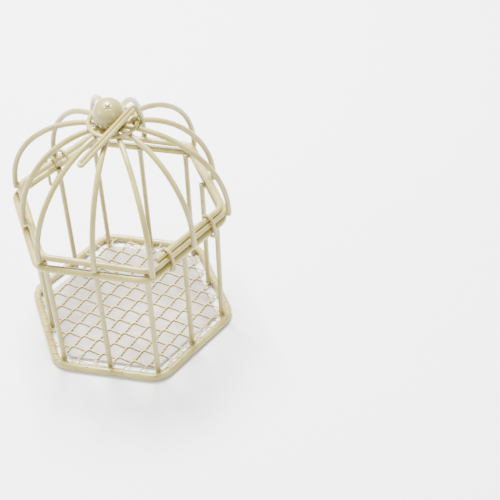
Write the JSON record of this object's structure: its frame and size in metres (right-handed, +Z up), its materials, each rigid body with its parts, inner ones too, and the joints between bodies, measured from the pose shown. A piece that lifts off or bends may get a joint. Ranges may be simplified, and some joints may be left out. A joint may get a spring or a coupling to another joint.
{
  "type": "wire birdcage favour box",
  "caption": "Small hexagonal wire birdcage box with netted floor, hinged domed lid, ball finial, hanging loop and wire catch, for cards or favours.",
  "frame": {"origin": "centre of the footprint on the surface the base ring stands on", "axes": "+Z up; +X to a corner of the hexagon; the hinge side faces 30 degrees clockwise of +X, the catch side is opposite"},
  "size_m": [0.0815, 0.0727, 0.101],
  "materials": {
    "ivory_wire": "semi-gloss ivory paint over steel wire",
    "ivory_ball": "semi-gloss ivory paint over a drilled bead",
    "liner_film": "translucent milky film"
  },
  "bodies": {
    "basket": {"base_ring": "ivory_wire", "basket_rim": "ivory_wire", "floor_netting": "ivory_wire", "floor_liner": "liner_film", "wall_bar_000": "ivory_wire", "wall_bar_030": "ivory_wire", "wall_bar_060": "ivory_wire", "wall_bar_090": "ivory_wire", "wall_bar_120": "ivory_wire", "wall_bar_150": "ivory_wire", "wall_bar_180": "ivory_wire", "wall_bar_210": "ivory_wire", "wall_bar_240": "ivory_wire", "wall_bar_270": "ivory_wire", "wall_bar_300": "ivory_wire", "wall_bar_330": "ivory_wire"},
    "lid": {"lid_ring": "ivory_wire", "lid_lap_wire": "ivory_wire", "hub_ring": "ivory_wire", "finial_ball": "ivory_ball", "hinge_clip_left": "ivory_wire", "hinge_clip_right": "ivory_wire", "dome_rib_000": "ivory_wire", "dome_rib_030": "ivory_wire", "dome_rib_060": "ivory_wire", "dome_rib_090": "ivory_wire", "dome_rib_120": "ivory_wire", "dome_rib_150": "ivory_wire", "dome_rib_180": "ivory_wire", "dome_rib_210": "ivory_wire", "dome_rib_240": "ivory_wire", "dome_rib_270": "ivory_wire", "dome_rib_300": "ivory_wire", "dome_rib_330": "ivory_wire"},
    "loop": {"hanging_loop": "ivory_wire"},
    "catch": {"lid_catch": "ivory_wire"}
  },
  "joints": [
    {"name": "lid_hinge", "type": "hinge", "parent": "basket", "child": "lid", "pos_m": [0.02927, -0.0169, 0.054], "axis": [0.5, 0.866, 0], "range_deg": [-1.5, 115]},
    {"name": "loop_swing", "type": "hinge", "parent": "lid", "child": "loop", "pos_m": [0.00971, 0.0022, 0.09245], "axis": [-0.2586, 0.9658, 0.0185], "range_deg": [0, 110]},
    {"name": "catch_swing", "type": "hinge", "parent": "lid", "child": "catch", "pos_m": [-0.02734, 0.01694, 0.05863], "axis": [0.5, 0.866, 0], "range_deg": [0, 60]}
  ]
}
